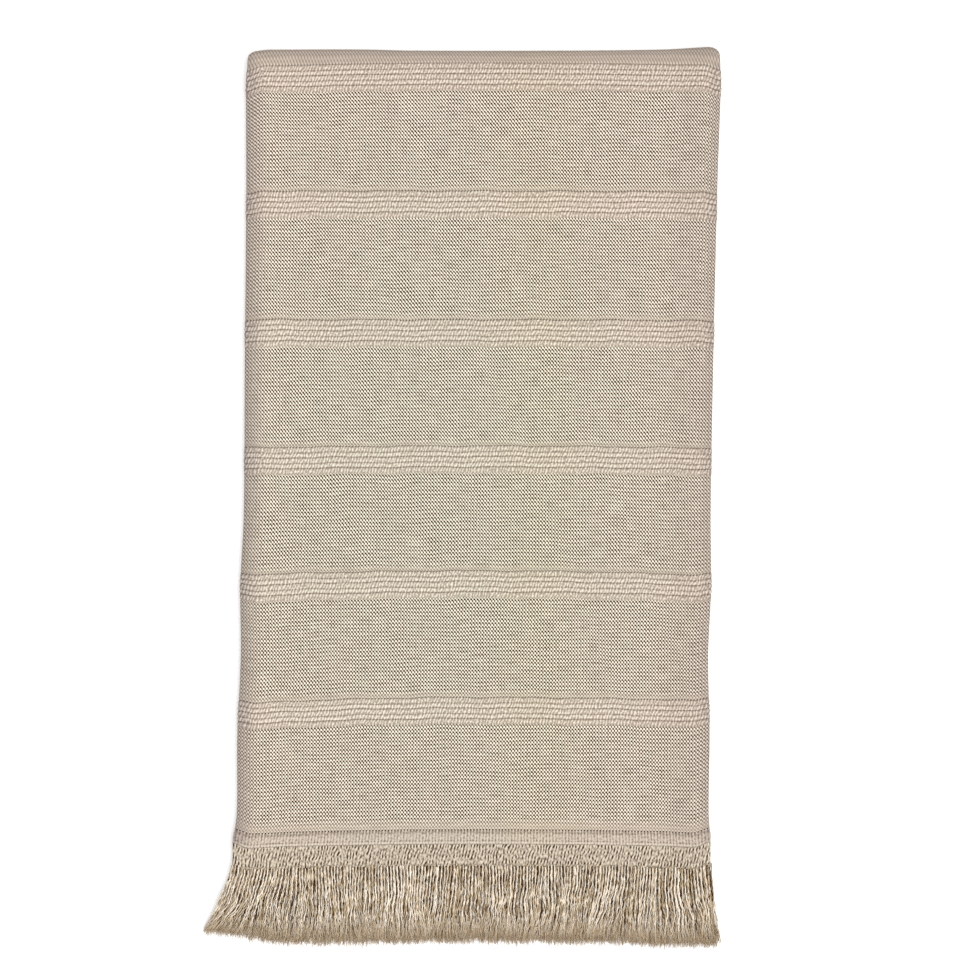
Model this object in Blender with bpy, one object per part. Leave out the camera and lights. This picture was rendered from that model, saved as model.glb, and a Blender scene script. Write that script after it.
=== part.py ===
"""Hammam towel in plain weave with ribbed bands, folded and lying flat.

One length of cloth has both long sides turned in behind it until they nearly meet, and is
then folded in half across, with the turned-in sides inside. Its two fringed ends lie one on
the other. X runs across the folded towel, Y from the fringe to the top fold, and Z up from
the surface that it rests on. Sizes are in metres.
"""

import math
import random
from collections import namedtuple

import bmesh
import bpy
from mathutils import Vector

# Cloth
CLOTH = 0.0015  # thickness
LAYER_GAP = 0.0008  # air between two layers where they lie closest
LAYER_PITCH = CLOTH + LAYER_GAP

# Folds, with each height taken between the middles of the cloth above and below
FOLD_Y = 0.795  # top of the folded towel, above the upper end's hem
SIDE_LOOP = 0.0054  # height of the loop along each long fold
TOP_LOOP = 0.0064  # height between the turned-in sides at the fold across
LEFT_TURN, RIGHT_TURN = 0.0070, 0.0055  # how far in from its edge each long fold bends
SIDE_REACH, TOP_REACH = 0.045, 0.060  # how far the loops take to close
FLAP_PARTING = 0.008  # between the free edges of the turned-in sides
LOWER_INSET = 0.0015  # the lower half lies this far inside the upper one
LOWER_OVERHANG = 0.016  # the lower hem lies this far beyond the upper one
TURN_Y = FOLD_Y - TOP_LOOP / 2 - LAYER_PITCH - CLOTH / 2  # where the fold across begins
SWELL = 0.0007  # rise of the soft unevenness
SWELL_ACROSS, SWELL_ALONG = 0.30, 0.38  # its wavelengths
SWELL_SHIFT = 1.0  # where its waves across begin, in radians

# Outline of the folded towel: height above the upper hem, and x of its long folds
Edge = namedtuple("Edge", "y left right")
EDGES = (
    Edge(-0.020, -0.2465, 0.2350),
    Edge(0.000, -0.2435, 0.2345),
    Edge(0.030, -0.2390, 0.2325),
    Edge(0.111, -0.2385, 0.2335),
    Edge(0.191, -0.2350, 0.2320),
    Edge(0.260, -0.2355, 0.2350),
    Edge(0.335, -0.2320, 0.2345),
    Edge(0.479, -0.2310, 0.2370),
    Edge(0.655, -0.2295, 0.2410),
    Edge(0.767, -0.2295, 0.2445),
    Edge(0.795, -0.2275, 0.2435),
)

# Top edge: x, and how far it rises over the straight line of the fold
Top = namedtuple("Top", "x rise")
TOP_EDGE = (
    Top(-0.232, -0.0035),
    Top(-0.222, -0.0002),
    Top(-0.205, 0.0018),
    Top(-0.110, 0.0022),
    Top(-0.070, 0.0012),
    Top(0.060, 0.0010),
    Top(0.180, 0.0020),
    Top(0.226, 0.0040),
    Top(0.236, 0.0042),
    Top(0.245, 0.0005),
)

# Courses of the weave: height in the middle, and how far each droops at its two ends
Course = namedtuple("Course", "y left right")
HEM = Course(0.000, 0.0040, 0.0030)
BANDS = (
    Course(0.1470, 0.0060, 0.0035),
    Course(0.2740, 0.0040, 0.0045),
    Course(0.3993, 0.0020, 0.0025),
    Course(0.5258, 0.0000, 0.0012),
    Course(0.6550, 0.0005, 0.0015),
)
TOP_BAND = Course(TURN_Y - 0.0057, 0.0040, 0.0030)  # the sixth, just under the fold across

# Ribs, which run across the cloth, from the open line at a band's top downwards
WIDE_RIB, NARROW_RIB = 0.0058, 0.0047
BAND_RIBS = (WIDE_RIB, NARROW_RIB, WIDE_RIB, NARROW_RIB, WIDE_RIB)
BAND_DEPTH = sum(BAND_RIBS)
RIB_RISE = 0.0008
HEM_RIB_LOW, HEM_RIB_HIGH, HEM_RIB_RISE = 0.003, 0.011, 0.0004
HEM_RIB_SLOPE = 0.0012

# Fringe
HEADER_PARTING = 0.0003  # clearance between a hem and the strip that carries its fringe
HEADER_DEPTH = 0.0200  # from the hem to the roots of the locks
LOCK_WIDTH = 0.0047
PANEL_LOCKS, FLAP_LOCKS = 70, 12
TURN_LOCK_SHARE = 0.30  # of the length round a turn
UPPER_TIP_Y, LOWER_TIP_Y = -0.0880, -0.0945
TIP_BOW = 0.0065  # the ends hang this much longer at the two sides
TIP_RAGGED = 0.0035
TIP_PITCH = 0.0019  # from one layer's tips to the next
SETTLE_START, SETTLE_REACH = -0.034, 0.060  # where the layers of fringe sink together
SWAY, SWAY_LENGTH = 0.0009, 0.026
LAYER_SHIFT = 2.0  # how far the sway of one layer is ahead of the next, in radians
UPPER_SEED, LOWER_SEED = 3, 4

# Rings of a lock: share of its length, share of its root's size, share of its lean
Ring = namedtuple("Ring", "along size lean")
LOCK_RINGS = (Ring(0.35, 0.95, 0.22), Ring(0.70, 0.85, 0.65), Ring(1.00, 0.65, 1.00))

# Lean of the fringe: x at the hem, and how far sideways its tips lie
Lean = namedtuple("Lean", "x reach")
FRINGE_LEAN = (
    Lean(-0.2465, -0.0300),
    Lean(-0.2300, -0.0270),
    Lean(-0.2070, -0.0190),
    Lean(-0.1850, -0.0100),
    Lean(-0.1600, -0.0020),
    Lean(-0.1200, 0.0000),
    Lean(-0.0200, -0.0030),
    Lean(0.0500, -0.0030),
    Lean(0.1200, -0.0060),
    Lean(0.1700, -0.0040),
    Lean(0.2000, 0.0000),
    Lean(0.2350, 0.0100),
)

# Mesh
PANEL_STEPS, TURN_STEPS, TOP_STEPS = 10, 6, 8
BETWEEN_BANDS_STEPS, BELOW_TOP_BAND_STEPS = 2, 4
LOOP_STEPS, FLAT_STEPS = 4, 6
NUDGE = 1e-4  # step to either side that a normal is worked out from
SHARP_ANGLE = math.radians(45)

# Colours, linear
CLOTH_COLOUR = (0.545, 0.473, 0.381)
FRINGE_COLOUR = (0.456, 0.376, 0.279)

UPPER, OVER, LOWER = "upper half", "fold across", "lower half"

# A row of points across the cloth: where it is, how far a rib raises it, and whether it is
# a fine row, made only where the ribs show
Row = namedtuple("Row", "leg at rib fine")


def ease(share):
    """0 to 1 with level ends."""
    share = min(max(share, 0.0), 1.0)
    return share * share * (3 - 2 * share)


def blend(start, end, share):
    return start + (end - start) * share


def read(table, column, at):
    """A column of a table between its rows, on a smooth curve through them."""
    places = [row[0] for row in table]
    values = [getattr(row, column) for row in table]
    at = min(max(at, places[0]), places[-1])
    i = max(k for k in range(len(places) - 1) if places[k] <= at)

    def slope(k):
        low, high = max(k - 1, 0), min(k + 1, len(places) - 1)
        return (values[high] - values[low]) / (places[high] - places[low])

    span = places[i + 1] - places[i]
    share = (at - places[i]) / span
    base = blend(values[i], values[i + 1], ease(share))
    out = share * (1 - share) ** 2 * span * slope(i)
    back = share**2 * (1 - share) * span * slope(i + 1)
    return base + out - back


def bends(y, inset=0.0):
    """x where the flat cloth ends and each long fold begins, left and right."""
    left = read(EDGES, "left", y) + inset + LEFT_TURN
    right = read(EDGES, "right", y) - inset - RIGHT_TURN
    return left, right


def across(station, y, inset=0.0):
    """x of a station of the section, and its place between flap (0) and panel (1).

    -3 to -2 is the left flap from its free edge, -2 to -1 the left turn, -1 to 1 the panel,
    1 to 2 the right turn, and 2 to 3 the right flap.
    """
    left, right = bends(y, inset)
    if abs(station) <= 1:
        return blend(left, right, (station + 1) / 2), 1.0
    bend, side, turn = (left, -1, LEFT_TURN) if station < 0 else (right, 1, RIGHT_TURN)
    if abs(station) <= 2:
        angle = math.pi * (1.5 - abs(station))
        return bend + side * turn * math.cos(angle), (1 + math.sin(angle)) / 2
    free_edge = (left + right + side * FLAP_PARTING) / 2
    return blend(bend, free_edge, abs(station) - 2), 0.0


def side_gap(x, y):
    """Height from flap to panel, between the middles of the cloth."""
    left, right = bends(y)
    inside = min(x - left, right - x)
    return blend(SIDE_LOOP, LAYER_PITCH, ease(inside / SIDE_REACH))


def flap_gap(x, y):
    """Height from the lower flaps to the upper ones, between the middles of the cloth."""
    across_wave = math.sin(math.tau * x / SWELL_ACROSS + SWELL_SHIFT)
    swell = across_wave * math.sin(math.tau * y / SWELL_ALONG)
    closed = LAYER_PITCH + SWELL * (1 + swell) / 2
    return blend(TOP_LOOP, closed, ease((TURN_Y - y) / TOP_REACH))


def droop(course, x):
    """How far a course of the weave hangs below its height in the middle."""
    left, right = bends(course.y)
    if x < 0:
        return course.left * (x / left) ** 2
    return course.right * (x / right) ** 2


def turn_start(x):
    """y where the fold across begins."""
    rise = read(TOP_EDGE, "rise", x)
    return FOLD_Y + rise - CLOTH / 2 - TOP_LOOP / 2 - side_gap(x, TURN_Y)


def follow_weave(x, y):
    """y at this x of the course that lies at height y in the middle."""
    courses = [(c.y, -droop(c, x)) for c in (HEM, *BANDS, TOP_BAND)]
    courses.append((TURN_Y, turn_start(x) - TURN_Y))
    if y <= courses[0][0]:
        return y + courses[0][1]
    for (low, first), (high, second) in zip(courses, courses[1:]):
        if y <= high:
            return y + blend(first, second, (y - low) / (high - low))
    return y + courses[-1][1]


def middle_of_cloth(station, leg, at):
    """A point in the middle of the cloth's thickness.

    at is y on the two halves, and the angle turned through on the fold across.
    """
    if leg == OVER:
        half_turn = (1 - math.cos(at)) / 2
        x, round_turn = across(station, TURN_Y, LOWER_INSET * half_turn)
        side = side_gap(x, TURN_Y)
        radius = TOP_LOOP / 2 + round_turn * side
        y = turn_start(x) + radius * math.sin(at)
        z = CLOTH / 2 + side + TOP_LOOP / 2 + radius * math.cos(at)
        return Vector((x, y, z))
    x, round_turn = across(station, at, LOWER_INSET if leg == LOWER else 0.0)
    side, flaps = side_gap(x, at), flap_gap(x, at)
    if leg == UPPER:
        z = CLOTH / 2 + side + flaps + round_turn * side
    else:
        z = CLOTH / 2 + side - round_turn * side
    return Vector((x, follow_weave(x, at), z))


def outward(station, leg, at):
    """Unit normal on the side of the cloth that faces out of the folded towel."""
    step = -NUDGE if leg == LOWER else NUDGE
    wider = middle_of_cloth(station + NUDGE, leg, at) - middle_of_cloth(station - NUDGE, leg, at)
    farther = middle_of_cloth(station, leg, at + step) - middle_of_cloth(station, leg, at - step)
    return wider.cross(farther).normalized()


def on_skin(station, row, outside):
    """A point on the outside or the inside of the cloth."""
    normal = outward(station, row.leg, row.at)
    rise = CLOTH / 2
    if outside:
        fade = min(1.0, 2 * across(station, TURN_Y)[1])
        rise += row.rib * fade
    return middle_of_cloth(station, row.leg, row.at) + normal * (rise if outside else -rise)


def section_stations():
    """Stations of the towel's section, closer together near the long folds.

    The flaps have theirs under those of the panel, so that the layers keep their gap.
    """
    panel = [math.sin(math.pi * (i / PANEL_STEPS - 0.5)) for i in range(PANEL_STEPS + 1)]
    turn = [1 + i / TURN_STEPS for i in range(1, TURN_STEPS + 1)]
    flap = [3 - station for station in reversed(panel) if 0 < station < 1]
    right = [*turn, *flap, 3]
    return [-s for s in reversed(right)] + panel + right


def band_rows(top, near_fold):
    """Rows of one band, from its lowest groove to the open line at its top."""
    rows, y = [], top - BAND_DEPTH
    for rib in reversed(BAND_RIBS):
        rows.append(Row(UPPER, y, 0.0, not near_fold and bool(rows)))
        rows.append(Row(UPPER, y + rib / 2, RIB_RISE, True))
        y += rib
    return [*rows, Row(UPPER, top, 0.0, False)]


def plain_rows(leg, low, high, steps):
    """Rows of plain weave between two heights, without the two ends."""
    return [Row(leg, blend(low, high, i / steps), 0.0, False) for i in range(1, steps)]


def upper_rows():
    """Rows of the upper half, from its hem to the fold across."""
    rows = [
        Row(UPPER, HEM.y, 0.0, False),
        Row(UPPER, HEM_RIB_LOW, 0.0, True),
        Row(UPPER, HEM_RIB_LOW + HEM_RIB_SLOPE, HEM_RIB_RISE, True),
        Row(UPPER, HEM_RIB_HIGH - HEM_RIB_SLOPE, HEM_RIB_RISE, True),
        Row(UPPER, HEM_RIB_HIGH, 0.0, False),
    ]
    for course in BANDS:
        rows += plain_rows(UPPER, rows[-1].at, course.y - BAND_DEPTH, BETWEEN_BANDS_STEPS)
        rows += band_rows(course.y, False)
    rows += plain_rows(UPPER, rows[-1].at, TOP_BAND.y - BAND_DEPTH, BELOW_TOP_BAND_STEPS)
    rows += band_rows(TOP_BAND.y, True)
    return rows


def towel_rows():
    """Rows along the whole cloth, from the upper hem over the fold to the lower hem."""
    over = [Row(OVER, math.pi * i / TOP_STEPS, 0.0, False) for i in range(TOP_STEPS + 1)]
    closing = plain_rows(LOWER, TURN_Y, TURN_Y - TOP_REACH, LOOP_STEPS)
    flat = plain_rows(LOWER, TURN_Y - TOP_REACH, -LOWER_OVERHANG, FLAT_STEPS)
    loop_end = Row(LOWER, TURN_Y - TOP_REACH, 0.0, False)
    hem = Row(LOWER, -LOWER_OVERHANG, 0.0, False)
    return [*upper_rows(), *over, *closing, loop_end, *flat, hem]


def join(mesh, first, second):
    """Faces between two lines of points, each split only where both lines have a point."""
    shared = [place for place in first if place in second]
    for low, high in zip(shared, shared[1:]):
        there = [point for place, point in first.items() if low <= place <= high]
        back = [point for place, point in second.items() if low <= place <= high]
        mesh.faces.new([*there, *reversed(back)])


def skin_columns(mesh, stations, rows, outside):
    """Points of one side of the cloth. Ribs take their own rows only where they show."""
    columns = []
    for station in stations:
        ribbed = outside and abs(station) <= 2
        columns.append(
            {
                i: mesh.verts.new(on_skin(station, row, outside))
                for i, row in enumerate(rows)
                if ribbed or not row.fine
            }
        )
    return columns


def build_towel():
    stations, rows = section_stations(), towel_rows()
    mesh = bmesh.new()
    outer = skin_columns(mesh, stations, rows, True)
    inner = skin_columns(mesh, stations, rows, False)
    for columns in (outer, inner):
        for first, second in zip(columns, columns[1:]):
            join(mesh, first, second)
    for free_edge in (0, -1):
        join(mesh, outer[free_edge], inner[free_edge])
    for hem in (0, len(rows) - 1):
        hem_lines = [
            {station: column[hem] for station, column in zip(stations, columns)}
            for columns in (outer, inner)
        ]
        join(mesh, *hem_lines)
    return finish(mesh, "towel", CLOTH_COLOUR)


def lock_roots():
    """First and last station of each lock's root, from the left flap's free edge on."""
    left, right = bends(-HEADER_DEPTH)
    half_panel = LOCK_WIDTH / (right - left)
    half_flap = LOCK_WIDTH / (right - left - FLAP_PARTING)
    roots = []
    for i in range(PANEL_LOCKS):
        middle = -1 + (2 * i + 1) / PANEL_LOCKS
        roots.append((middle - half_panel, middle + half_panel))
    for side in (-1, 1):
        turn = (1.5 - TURN_LOCK_SHARE / 2, 1.5 + TURN_LOCK_SHARE / 2)
        flap_middles = [2 + (i + 0.5) / FLAP_LOCKS for i in range(FLAP_LOCKS)]
        flap = [(middle - half_flap, middle + half_flap) for middle in flap_middles]
        for root in (turn, *flap):
            roots.append(tuple(sorted(side * station for station in root)))
    return sorted(roots)


def fringe_underside(x, y, leg, round_turn):
    """Height of the underside of a lock. The layers sink together towards the tips."""
    sunk = ease((SETTLE_START - y) / SETTLE_REACH)
    side = blend(side_gap(x, HEM.y), TIP_PITCH, sunk)
    flaps = blend(flap_gap(x, HEM.y), TIP_PITCH, sunk)
    if leg == UPPER:
        return side + flaps + round_turn * side
    return side - round_turn * side


def add_lock(mesh, corners, station, leg, tip_y):
    """One tapering lock on the four corners of its root, with its underside level."""
    root = sum((corner.co for corner in corners), Vector()) / 4
    round_turn = across(station, root.y)[1]
    sway = SWAY * math.sin(math.tau * root.x / SWAY_LENGTH + LAYER_SHIFT * round_turn)
    lean = read(FRINGE_LEAN, "reach", root.x) + sway
    last = corners
    for ring in LOCK_RINGS:
        x = root.x + ring.lean * lean
        y = blend(root.y, tip_y, ring.along)
        middle_z = fringe_underside(x, y, leg, round_turn) + ring.size * CLOTH / 2
        following = []
        for corner in corners:
            off = (corner.co - root) * ring.size
            following.append(mesh.verts.new((x + off.x, y, middle_z + off.z)))
        for i in range(4):
            j = (i + 1) % 4
            mesh.faces.new((last[i], last[j], following[j], following[i]))
        last = following
    mesh.faces.new(last)


def header_line(mesh, stations, leg, hem_y, depth, outside):
    """Points across the strip that carries a fringe, at one distance from the hem."""
    line, hem_row = {}, Row(leg, hem_y, 0.0, False)
    for station in stations:
        point = on_skin(station, hem_row, outside)
        point.y -= depth
        line[station] = mesh.verts.new(point)
    return line


def build_fringe(name, leg, hem_y, tip_y, seed):
    """The strip beyond one hem, with its locks: it turns round both folds as the hem does."""
    mesh = bmesh.new()
    ragged = random.Random(seed)
    roots, stations = lock_roots(), section_stations()
    clear = [s for s in stations if not any(first < s < last for first, last in roots)]
    root_stations = sorted({*clear, *(station for root in roots for station in root)})
    top, bottom = [], []
    for outside in (True, False):
        top.append(header_line(mesh, stations, leg, hem_y, HEADER_PARTING, outside))
        bottom.append(header_line(mesh, root_stations, leg, hem_y, HEADER_DEPTH, outside))
        join(mesh, top[-1], bottom[-1])
    join(mesh, *top)
    for free_edge in (stations[0], stations[-1]):
        mesh.faces.new([line[free_edge] for line in (*top, *reversed(bottom))])
    for first, last in zip(root_stations, root_stations[1:]):
        corners = [bottom[0][first], bottom[0][last], bottom[1][last], bottom[1][first]]
        if (first, last) not in roots:
            mesh.faces.new(corners)
            continue
        middle = (first + last) / 2
        bow = TIP_BOW * (across(middle, hem_y)[0] / EDGES[0].right) ** 2
        end = tip_y - bow + ragged.uniform(-TIP_RAGGED, TIP_RAGGED)
        add_lock(mesh, corners, middle, leg, end)
    return finish(mesh, name, FRINGE_COLOUR)


def principled(name, colour):
    """A matt cotton material."""
    material = bpy.data.materials.new(name)
    material.use_nodes = True
    shader = material.node_tree.nodes["Principled BSDF"]
    shader.inputs["Base Color"].default_value = (*colour, 1.0)
    shader.inputs["Roughness"].default_value = 0.9
    shader.inputs["Metallic"].default_value = 0.0
    material.diffuse_color = (*colour, 1.0)
    return material


def finish(mesh, name, colour):
    """A named object of the mesh, with its faces pointing out and its own material."""
    bmesh.ops.recalc_face_normals(mesh, faces=mesh.faces)
    data = bpy.data.meshes.new(name)
    mesh.to_mesh(data)
    mesh.free()
    data.shade_smooth()
    data.set_sharp_from_angle(angle=SHARP_ANGLE)
    data.materials.append(principled(f"{name}_cotton", colour))
    piece = bpy.data.objects.new(name, data)
    bpy.context.scene.collection.objects.link(piece)
    shading = piece.modifiers.new("shade_by_face_size", "WEIGHTED_NORMAL")
    shading.keep_sharp = True
    return piece


def centre_on_origin(pieces):
    """Moves the meshes so that the middle of their footprint is the origin."""
    points = [vertex.co for piece in pieces for vertex in piece.data.vertices]
    for axis in (0, 1):
        values = [point[axis] for point in points]
        middle = (min(values) + max(values)) / 2
        for point in points:
            point[axis] -= middle


def main():
    for old in list(bpy.data.objects):
        bpy.data.objects.remove(old, do_unlink=True)
    towel = build_towel()
    upper = build_fringe("upper_fringe", UPPER, HEM.y, UPPER_TIP_Y, UPPER_SEED)
    lower = build_fringe("lower_fringe", LOWER, -LOWER_OVERHANG, LOWER_TIP_Y, LOWER_SEED)
    centre_on_origin((towel, upper, lower))


main()
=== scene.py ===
"""Looks of a hammam towel: cotton in plain weave with ribbed bands and fringed ends, folded.

Both long sides of the cloth are turned in behind it until they nearly meet, and it is then
folded in half across, with the turned-in sides inside. X runs across the folded towel, Y from
the fringe to the top fold, and Z up from the surface that it lies on. Sizes are in metres.
"""

import math
from collections import namedtuple

import bpy
import bmesh
import numpy as np
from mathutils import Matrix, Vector


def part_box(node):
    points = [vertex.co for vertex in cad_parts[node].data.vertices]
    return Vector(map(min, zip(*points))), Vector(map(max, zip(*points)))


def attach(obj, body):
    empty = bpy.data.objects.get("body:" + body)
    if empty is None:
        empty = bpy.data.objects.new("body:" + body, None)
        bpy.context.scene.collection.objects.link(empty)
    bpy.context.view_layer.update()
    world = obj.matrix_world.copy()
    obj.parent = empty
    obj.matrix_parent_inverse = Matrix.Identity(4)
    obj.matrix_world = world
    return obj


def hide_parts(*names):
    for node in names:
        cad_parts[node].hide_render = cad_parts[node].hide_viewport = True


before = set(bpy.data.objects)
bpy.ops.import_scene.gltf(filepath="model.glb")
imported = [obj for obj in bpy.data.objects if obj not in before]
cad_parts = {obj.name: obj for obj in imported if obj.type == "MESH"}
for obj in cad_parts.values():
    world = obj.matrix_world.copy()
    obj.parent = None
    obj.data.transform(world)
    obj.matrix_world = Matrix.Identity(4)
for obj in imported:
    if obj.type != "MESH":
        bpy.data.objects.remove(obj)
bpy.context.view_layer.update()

# Cloth
CLOTH = 0.0015  # thickness
LAYER_GAP = 0.0008  # air between two layers where they lie closest
LAYER_PITCH = CLOTH + LAYER_GAP
WARP_PITCH, WEFT_PITCH = 0.00156, 0.00196  # from one thread to the next

# Folds, with each height taken between the middles of the cloth above and below
FOLD_Y = 0.795  # top of the folded towel, above the upper end's hem
SIDE_LOOP = 0.0054  # height of the loop along each long fold
TOP_LOOP = 0.0064  # height between the turned-in sides at the fold across
LEFT_TURN, RIGHT_TURN = 0.0070, 0.0055  # how far in from its edge each long fold bends
SIDE_REACH, TOP_REACH = 0.045, 0.060  # how far the loops take to close
FLAP_PARTING = 0.008  # between the free edges of the turned-in sides
LOWER_INSET = 0.0015  # the lower half lies this far inside the upper one
LOWER_OVERHANG = 0.016  # the lower hem lies this far beyond the upper one
TURN_Y = FOLD_Y - TOP_LOOP / 2 - LAYER_PITCH - CLOTH / 2  # where the fold across begins
TURN_RADIUS = TOP_LOOP / 2 + LAYER_PITCH
SWELL = 0.0007  # rise of the soft unevenness
SWELL_ACROSS, SWELL_ALONG = 0.30, 0.38  # its wavelengths
SWELL_SHIFT = 1.0

# Outline of the folded towel: height above the upper hem, and x of its long folds
Edge = namedtuple("Edge", "y left right")
EDGES = (
    Edge(-0.020, -0.2465, 0.2350),
    Edge(0.000, -0.2435, 0.2345),
    Edge(0.030, -0.2390, 0.2325),
    Edge(0.111, -0.2385, 0.2335),
    Edge(0.191, -0.2350, 0.2320),
    Edge(0.260, -0.2355, 0.2350),
    Edge(0.335, -0.2320, 0.2345),
    Edge(0.479, -0.2310, 0.2370),
    Edge(0.655, -0.2295, 0.2410),
    Edge(0.767, -0.2295, 0.2445),
    Edge(0.795, -0.2275, 0.2435),
)

# Top edge: x, and how far it rises over the straight line of the fold
Top = namedtuple("Top", "x rise")
TOP_EDGE = (
    Top(-0.232, -0.0035),
    Top(-0.222, -0.0002),
    Top(-0.205, 0.0018),
    Top(-0.110, 0.0022),
    Top(-0.070, 0.0012),
    Top(0.060, 0.0010),
    Top(0.180, 0.0020),
    Top(0.226, 0.0040),
    Top(0.236, 0.0042),
    Top(0.245, 0.0005),
)

# Courses of the weave: height in the middle, and how far each droops at its two ends
Course = namedtuple("Course", "y left right")
HEM = Course(0.000, 0.0040, 0.0030)
TOP_BAND_DROP = 0.0057  # from the fold across to the sixth band
BANDS = (
    Course(0.1470, 0.0060, 0.0035),
    Course(0.2740, 0.0040, 0.0045),
    Course(0.3993, 0.0020, 0.0025),
    Course(0.5258, 0.0000, 0.0012),
    Course(0.6550, 0.0005, 0.0015),
    Course(TURN_Y - TOP_BAND_DROP, 0.0040, 0.0030),
)
BAND_PITCH, LOWER_BAND_DROP = 0.127, 0.104  # the drop is from the fold across, underneath
LOWER_BAND_TOPS = [TURN_Y - LOWER_BAND_DROP - BAND_PITCH * i for i in range(5)]
WANDER = 0.00045  # how far a course strays from its even line
WANDER_FADE = 0.05  # it strays less this near to the hem and to the fold
Wave = namedtuple("Wave", "share length shift")  # shift is how much it turns with each metre of y
WANDER_WAVES = (Wave(1.0, 0.083, 31), Wave(0.6, 0.037, 67))
DRIFT, DRIFT_MIDDLE, DRIFT_REACH = 0.013, 0.42, 0.016  # how courses climb or sink at a long fold

# Ribs, from the open line at a band's top downwards: width, share of the full rise, and how
# far the groove under it is filled, which lightens the painted shade in that groove
Rib = namedtuple("Rib", "width share filled")
BAND_RIBS = (
    Rib(0.0058, 0.70, 0.12),
    Rib(0.0047, 1.00, 0.00),
    Rib(0.0058, 0.80, 0.14),
    Rib(0.0047, 1.00, 0.00),
    Rib(0.0058, 0.65, 0.40),
)
BAND_DEPTH = sum(rib.width for rib in BAND_RIBS)
RIB_RISE, PRESSED_GROOVE = 0.0008, 0.0004
RIB_STEPS, PRESSED_STEPS = 6, 4  # rows to a rib, above and on the underside
RIB_ROUNDNESS = 0.7
RIB_UNEVEN, RIB_UNEVEN_LENGTH = 0.18, 0.0130  # share of the rise, and its wavelength
RIB_SHIFT, RIB_SWAY, RIB_SWAY_RATE = 300, 2, 95  # its waves shift from rib to rib, and vary
OPEN_LINE = 0.0010  # half the width of the dotted line at a band's top
TOP_OPEN_LINE = 0.4  # the top band's is only this open

# Hem, upwards from where the weave ends
HEM_LINE_Y = 0.0142  # its own dotted line
HEM_RIB_LOW, HEM_RIB_HIGH, HEM_RIB_RISE = 0.003, 0.011, 0.0004
HEM_RIB_SLOPE = 0.0012
HEM_EDGE_Y = 0.0016
HEM_FADE, BAND_FADE = 0.0125, 0.0070  # the weave is denser for this far above a dotted line

# Painted shade of the cloth near its folds: how deep it is, and how far in it reaches
Shading = namedtuple("Shading", "depth reach")
LEFT_SHADING = (Shading(1.0, 0.024),)
RIGHT_SHADING = (Shading(0.60, 0.013), Shading(0.18, 0.070))
TOP_SHADING = (Shading(0.75, 0.018), Shading(0.25, 0.055))

# Mesh
MIDDLE_Y = 0.4  # height at which the section is measured
PANEL_STEPS, TURN_STEPS, TOP_STEPS = 116, 12, 24
COARSE_PANEL, COARSE_TURN, COARSE_TOP = 4, 2, 3  # every so many on the hidden sides
PLAIN_STEP = 0.011
NUDGE = 1e-4
SHARP_ANGLE = math.radians(50)

# Fringe
HEADER_PARTING = 0.0003
HEADER_DEPTH = 0.0220  # from the hem
HEADER_CLOTH = 0.0012
HEADER_STEPS = 5
ROOT_OVERLAP = 0.0020  # the strands start this far inside the header
UPPER_TIP_Y, LOWER_TIP_Y = -0.0950, -0.0985
TIP_BOW = 0.0055  # the ends hang this much longer at the two sides
TIP_PITCH = 0.0019  # from one layer's tips to the next
SETTLE_START, SETTLE_REACH = -0.034, 0.060  # where the layers of fringe sink together
LEAN_POWER = 1.4  # the lean grows towards the tips
SWING = 1.5  # the more a strand leans, the less far down it reaches
GUIDE_ROWS = 12

# Lean of the fringe: x at the hem, and how far sideways its tips lie
Lean = namedtuple("Lean", "x reach")
FRINGE_LEAN = (
    Lean(-0.2465, -0.0300),
    Lean(-0.2300, -0.0270),
    Lean(-0.2070, -0.0190),
    Lean(-0.1850, -0.0100),
    Lean(-0.1600, -0.0020),
    Lean(-0.1200, 0.0000),
    Lean(-0.0200, -0.0030),
    Lean(0.0500, -0.0030),
    Lean(0.1200, -0.0060),
    Lean(0.1700, -0.0040),
    Lean(0.2000, 0.0000),
    Lean(0.2350, 0.0100),
)

UPPER, OVER, LOWER = 0, 1, 2  # upper half, fold across, lower half

# A row of points across the cloth: where it is, whether only the outside has it, how far it
# stands out, how near it is to a rib's crest, and how ribbed, dotted or dense the weave is
# there. What isn't given is as in plain weave.
PLAIN = (False, 0, 0, 0, 0, 0)
Row = namedtuple("Row", "leg at fine rise crest ribbed dotted dense", defaults=PLAIN)


def ease(share):
    """0 to 1 with level ends."""
    share = np.clip(share, 0.0, 1.0)
    return share * share * (3 - 2 * share)


def blend(start, end, share):
    return start + (end - start) * share


def read(table, column, at):
    """A column of a table between its rows, on a smooth curve through them."""
    places = np.array([row[0] for row in table])
    values = np.array([getattr(row, column) for row in table])
    steps = np.arange(len(places))
    low, high = np.maximum(steps - 1, 0), np.minimum(steps + 1, len(places) - 1)
    slopes = (values[high] - values[low]) / (places[high] - places[low])
    at = np.clip(at, places[0], places[-1])
    i = np.clip(np.searchsorted(places, at, "right") - 1, 0, len(places) - 2)
    span = places[i + 1] - places[i]
    share = (at - places[i]) / span
    base = blend(values[i], values[i + 1], ease(share))
    out = share * (1 - share) ** 2 * span * slopes[i]
    back = share**2 * (1 - share) * span * slopes[i + 1]
    return base + out - back


def bends(y, inset=0.0):
    """x where the flat cloth ends and each long fold begins, left and right."""
    left = read(EDGES, "left", y) + inset + LEFT_TURN
    right = read(EDGES, "right", y) - inset - RIGHT_TURN
    return left, right


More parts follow.
